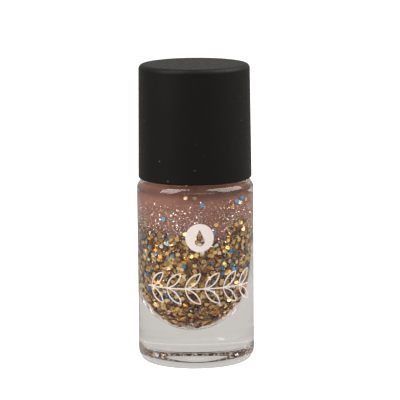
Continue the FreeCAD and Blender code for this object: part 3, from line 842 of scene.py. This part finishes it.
def bed_plates(count, crowd, tilt_spread):
    """Places for settled flakes, and how deep each lies as a share of its room. A higher crowd keeps more
    of them near the glass. tilt_spread is in degrees."""
    places = wall_places(count * 3)
    turn = RANDOM.uniform(0, 2 * math.pi, len(places))
    angle = np.arctan2(np.cos(turn), -np.sin(turn))
    edge = bed_top(angle) - wall_heights(places)
    places, turn = thinned(places, turn, smooth(edge, -0.9, 0.7), count)
    share = RANDOM.uniform(0, 1, len(places)) ** crowd
    z = wall_heights(places)
    nearest = FLAKE_DEPTHS[0] + FLAKE_BOWL_DEPTH * (1 - smooth(z, *BOWL_FADE_Z))
    nearest += FLAKE_CORNER_DEPTH * hump(z, BOWL_CORNER_Z, FLAKE_CORNER_SPREAD)
    depth = nearest + (np.minimum(FLAKE_DEPTHS[1], core_inset(z)) - nearest) * share
    tilt = np.abs(RANDOM.normal(0, math.radians(tilt_spread), len(places)))
    tilt = np.clip(tilt, 0, math.radians(80))
    depth = np.maximum(depth, FLAKE_RADIUS * np.sin(tilt) + 0.04)
    points, outward, around, up = wall_frames(places, turn, depth)
    face, first, second = tilted(outward, around, up, tilt)
    return leaned(points), face, first, second, share


def settled_flakes():
    """The bed: gold flakes that darken inwards, and a few blue ones."""
    points, face, first, second, share = bed_plates(3300, 1.0, 26)
    count = len(points)
    near = pick((20, 24, 15, 16, 17, 6, 3), count)
    far = pick((1, 4, 14, 34, 42, 5, 0), count)
    which = np.where(RANDOM.uniform(0, 1, count) < smooth(share, 0.35, 0.75), far, near)
    gold = plates("gold_flakes", points, face, first, second, FLAKE_RADIUS, FLAKE_THICKNESS, 6,
                  gold_materials(), which)
    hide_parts("glitter_bed")
    points, face, first, second, share = bed_plates(190, 1.6, 13)
    which = np.where(share > 0.55, pick((2, 4, 4), len(points)), pick((8, 2, 0), len(points)))
    blue = plates("blue_flakes", points, face, first, second, FLAKE_RADIUS, FLAKE_THICKNESS, 6,
                  blue_materials(), which)
    for piece in (gold, blue):
        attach(piece, "bottle")


# Flakes that float above the bed: degrees from the front, height, how far behind the glass, which way the
# face looks (degrees from the front, and upwards) and the kind.
STRAY_FLAKES = (
    (9, 37.9, 0.10, 5, 8, "flake_blue"), (-40, 34.2, 0.10, -30, 6, "flake_blue"),
    (58, 38.2, 0.15, 30, 12, "flake_blue"), (71, 38.7, 0.15, 24, 6, "flake_blue"),
    (25, 31.4, 0.12, 20, 4, "flake_blue"), (-12, 39.5, 0.20, -24, 28, "flake_pale_gold"),
    (0, 39.45, 0.20, 0, 28, "flake_gold"), (-10, 38.3, 0.85, -8, 10, "flake_deep_gold"),
    (65, 37.8, 0.30, 28, 24, "flake_silver"), (52, 38.0, 0.45, 70, 30, "flake_orange"),
    (40, 36.9, 0.28, 55, 12, "flake_bronze"), (50, 37.1, 0.28, 15, 24, "flake_deep_gold"),
    (46, 37.6, 0.50, 90, -20, "flake_brown"), (27, 33.2, 0.12, 22, 8, "flake_gold"),
    (97, 39.2, 0.50, 24, 5, "flake_bronze"), (79, 38.2, 0.30, 75, 15, "flake_gold"),
    (-150, 35.5, 0.20, -140, 5, "flake_blue"), (130, 36.0, 0.30, 120, 20, "flake_gold"),
    (170, 33.5, 0.20, 165, 10, "flake_pale_gold"), (-110, 36.8, 0.30, -90, 15, "flake_gold"),
    (-95, 34.0, 0.30, -110, -10, "flake_silver"), (150, 37.4, 0.25, 155, 12, "flake_deep_blue"),
)


def stray_flakes():
    column = list(zip(*STRAY_FLAKES))
    turn = np.radians(np.array(column[0]) - 90.0)
    places = np.interp(column[1], CAVITY[:, 1], np.arange(len(CAVITY)))
    points = wall_frames(places, turn, np.array(column[2]))[0]
    face = np.array([tuple(direction(a, e)) for a, e in zip(column[3], column[4])])
    first = np.cross(face, (0.2, 0.1, 1.0))
    first /= np.linalg.norm(first, axis=1)[:, None]
    materials = gold_materials() + blue_materials()
    names = [m.name.split(".")[0] for m in materials]
    which = np.array([names.index(kind) for kind in column[5]])
    piece = plates("stray_flakes", leaned(points), face, first, np.cross(face, first), FLAKE_RADIUS,
                   FLAKE_THICKNESS, 6, materials, which)
    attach(piece, "bottle")


def sparkle_materials():
    return [
        metal_flake("sparkle_silver", (0.95, 0.91, 0.88), 0.20),
        metal_flake("sparkle_rose", (0.90, 0.66, 0.58), 0.22),
        metal_flake("sparkle_champagne", (0.90, 0.74, 0.50), 0.22),
        metal_flake("sparkle_ice", (0.62, 0.80, 0.90), 0.28),
        metal_flake("sparkle_copper", (0.66, 0.34, 0.18), 0.34),
    ]


def fine_glitter(name, count, density, weights, sizes):
    """Very fine glitter. density gives how likely a place is to hold a speck, from its angle and height.
    weights are for the sparkle materials, and sizes are the least and greatest radius."""
    places = wall_places(count * 6)
    turn = RANDOM.uniform(0, 2 * math.pi, len(places))
    angle = np.arctan2(np.cos(turn), -np.sin(turn))
    places, turn = thinned(places, turn, density(angle, wall_heights(places)), count)
    radius = RANDOM.uniform(*sizes, len(places))
    room = np.maximum(core_inset(wall_heights(places)) - 0.12, 0.05)
    depth = np.maximum(0.04 + room * RANDOM.uniform(0, 1, len(places)), radius + 0.02)
    points, outward, around, up = wall_frames(places, turn, depth)
    tilt = RANDOM.uniform(0, math.radians(50), len(places))
    face, first, second = tilted(outward, around, up, tilt)
    piece = plates(name, leaned(points), face, first, second, radius, SPECK_THICKNESS, 6,
                   sparkle_materials(), pick(weights, len(places)))
    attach(piece, "bottle")


def drift_density(angle, z):
    """Glitter adrift above the bed. It thickens down from a ragged edge, and is sparser over the hollow."""
    ragged = 38.6 + 0.5 * np.sin(2 * angle + 1.2) + 0.3 * np.sin(5 * angle)
    ragged += 1.3 * hump(angle, 0.95, 0.35)
    sparse = 1 - 0.6 * hump(angle, 0.45, 0.22)
    above_bed = z > bed_top(angle) - 1.5
    return sparse * smooth(ragged - z, 0, 2.2) * (0.35 + 0.65 * smooth(38.5 - z, 0, 5)) * above_bed


def bed_density(angle, z):
    """Glitter between the flakes of the bed, sparser in the bowl."""
    return (z < bed_top(angle)) * (0.3 + 0.7 * smooth(z, 8, 24))


# ---------------------------------------------------------------- brush
def tuft_section(height):
    """Half width and half thickness of the tuft at this height, from its root in the stem to its tip."""
    root = TUFT_HIGH.y
    widest_z = TUFT_LOW.z + 2.4
    stations = (TUFT_LOW.z, widest_z, STEM_END_Z, TUFT_HIGH.z)
    width = np.interp(height, stations, (1.35, TUFT_HIGH.x, root, root))
    thickness = np.interp(height, stations, (0.60, 1.25, root, root))
    return width, thickness


def bristles(count=430, sides=5, stations=11):
    """Nylon filaments that start packed in the stem and spread to the flat tip."""
    radius = np.sqrt(RANDOM.uniform(0, 1, count)) * 0.93
    spin = RANDOM.uniform(0, 2 * math.pi, count)
    u, v = radius * np.cos(spin), radius * np.sin(spin)
    tip = TUFT_LOW.z + 0.05 + 1.0 * u ** 2 + RANDOM.uniform(0, 0.25, count)
    wander = RANDOM.normal(0, 0.05, (2, count))
    points, faces = [], []
    for i in range(count):
        for share in np.linspace(0, 1, stations):
            z = (STEM_END_Z + 0.8) + (tip[i] - STEM_END_Z - 0.8) * share
            width, thickness = tuft_section(z)
            x = u[i] * (width - 0.06) + wander[0, i] * math.sin(math.pi * share)
            y = v[i] * (thickness - 0.06) + wander[1, i] * math.sin(math.pi * share)
            thin = FILAMENT_RADIUS * (1 - 0.45 * share ** 3)
            for s in range(sides):
                a = 2 * math.pi * s / sides
                points.append((x + thin * math.cos(a), y + thin * math.sin(a), z))
        base = i * stations * sides
        for k in range(stations - 1):
            for s in range(sides):
                low, t = base + k * sides, (s + 1) % sides
                faces.append((low + s, low + sides + s, low + sides + t, low + t))
        faces.append(tuple(base + s for s in range(sides)))
        faces.append(tuple(base + (stations - 1) * sides + s for s in reversed(range(sides))))
    piece = mesh_object("bristle_filaments", points, faces)
    nylon = moulded_plastic("bristle_nylon", (0.012, 0.011, 0.010), (0.030, 0.026, 0.022), 0.32)
    piece.data.materials.append(nylon)
    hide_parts("brush_bristles")
    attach(piece, "closure")


def coat_section(height):
    """Half width and half thickness of the lacquer on the dipped brush."""
    width, thickness = tuft_section(height)
    stem = STEM_RADII[0] + (STEM_RADII[1] - STEM_RADII[0]) * (height - STEM_END_Z) / STEM_LENGTH
    hanging = 0.18 * hump(height, STEM_END_Z + 0.2, 0.9)
    on_stem = stem + COAT_THICKNESS + hanging
    share = smooth(height, STEM_END_Z - 0.9, STEM_END_Z - 0.05)
    across = (width + COAT_THICKNESS) * (1 - share) + on_stem * share
    through = (thickness + COAT_THICKNESS) * (1 - share) + on_stem * share
    return across, through


def brush_coat(steps=120):
    """Wet lacquer over the bristles and the dipped part of the stem. The bristles' tips stand out of it."""
    low, high = TUFT_LOW.z + 0.45, MENISCUS_Z + 0.3
    heights = np.concatenate((low + (STEM_END_Z - low) * np.linspace(0, 1, 70) ** 1.15,
                              np.linspace(STEM_END_Z, high, 32)[1:]))[:, None]
    turn = turn_steps(steps)
    across, through = coat_section(heights)
    combed = (1 - smooth(heights, STEM_END_Z - 2.5, STEM_END_Z - 0.6)) * smooth(heights, low - 3, low + 6)
    fine_comb = np.sin(turn * 29 + 1.1 * np.sin(heights * 0.55))
    coarse_comb = 0.7 * np.sin(turn * 17 - 0.8 * np.sin(heights * 0.4))
    ridges = 1 + 0.020 * combed * (fine_comb + coarse_comb) + 0.010 * np.sin(turn * 3 + heights)
    rounding = np.sqrt(1 - (1 - smooth(heights, low, low + 1.1)) ** 2) * 0.35 + 0.65
    ending = 1 - 0.05 * smooth(heights, high - 0.5, high)
    sag = 0.35 * np.sin(turn * 2 + 0.7) * smooth(heights, high - 4, high)
    x, y = (half * ridges * rounding * ending for half in (across, through))
    grid = np.stack((x * np.cos(turn), y * np.sin(turn), heights + sag), -1)
    rings = len(heights)
    points = np.concatenate(([(0, 0, low - 0.05)], grid.reshape(-1, 3), [(0, 0, high)]))
    faces = [(0, 1 + (j + 1) % steps, 1 + j) for j in range(steps)]
    for i in range(rings - 1):
        ring = 1 + i * steps
        over = ring + steps
        for j in range(steps):
            k = (j + 1) % steps
            faces.append((ring + j, ring + k, over + k, over + j))
    faces += [(over + j, over + (j + 1) % steps, len(points) - 1) for j in range(steps)]
    piece = mesh_object("brush_lacquer_coat", points, faces)
    piece.data.materials.append(wet_lacquer("lacquer_on_brush", (0.26, 0.115, 0.085)))
    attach(piece, "closure")


def brush_flakes(count=70):
    """Glitter that comes out on the brush."""
    z = TUFT_LOW.z + 1.4 + 21.5 * RANDOM.uniform(0, 1, count) ** 1.8
    turn = RANDOM.uniform(0, 2 * math.pi, count)
    across, through = coat_section(z)
    points = np.stack((across * np.cos(turn), through * np.sin(turn), z), -1)
    outward = np.stack((np.cos(turn) / across, np.sin(turn) / through, np.zeros(count)), -1)
    outward /= np.linalg.norm(outward, axis=1)[:, None]
    around = np.cross(np.array((0, 0, 1.0)), outward)
    up = np.cross(outward, around)
    tilt = np.abs(RANDOM.normal(0, math.radians(9), count))
    face, first, second = tilted(outward, around, up, tilt)
    which = pick((6, 8, 4, 1, 0, 1, 2, 3, 1, 0), count)
    piece = plates("brush_glitter", points + outward * FLAKE_THICKNESS, face, first, second, FLAKE_RADIUS,
                   FLAKE_THICKNESS, 6, gold_materials() + blue_materials(), which)
    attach(piece, "closure")


# ---------------------------------------------------------------- CAD nodes that keep their shape
def finish_cad_nodes():
    """Materials for the nodes that are shown as model.glb holds them."""
    steel = bright_steel()
    enamel = screen_print()
    looks = {
        "overcap": soft_touch(),
        "inner_cap": moulded_plastic("natural_polypropylene", (0.60, 0.60, 0.57), (0.70, 0.70, 0.67), 0.38,
                                     Subsurface_Weight=0.15, Subsurface_Scale=0.001),
        "seal_facing": moulded_plastic("seal_film", (0.74, 0.74, 0.73), (0.80, 0.80, 0.79), 0.2),
        "seal_pad": moulded_plastic("seal_foam", (0.66, 0.66, 0.64), (0.78, 0.78, 0.76), 0.9, 0.12),
        "brush_stem": moulded_plastic("stem_polyethylene", (0.012, 0.012, 0.012),
                                      (0.020, 0.019, 0.018), 0.3),
        "bristle_staple": steel,
        "mixing_ball_1": steel,
        "mixing_ball_2": steel,
        "front_medallion": enamel,
        "front_sprig": enamel,
    }
    for node, material in looks.items():
        slots = NODES[node].data.materials
        slots.clear()
        slots.append(material)


# ---------------------------------------------------------------- the scene
add_camera()
add_world()
add_softbox("softbox_left", -59, 44, 250, 540, 6.6)
add_softbox("softbox_right", 85, 46, 460, 440, 5.2)
add_softbox("softbox_front", 8, 22, 520, 110, 2.0)
add_floor()
light_paths()

glass_vessel()
lacquer_body()
settled_flakes()
stray_flakes()
fine_glitter("drifting_fine_glitter", 3600, drift_density, (56, 22, 14, 3, 5), (0.07, 0.125))
fine_glitter("settled_fine_glitter", 3000, bed_density, (56, 8, 18, 8, 10), (0.07, 0.12))
bristles()
brush_coat()
brush_flakes()
finish_cad_nodes()
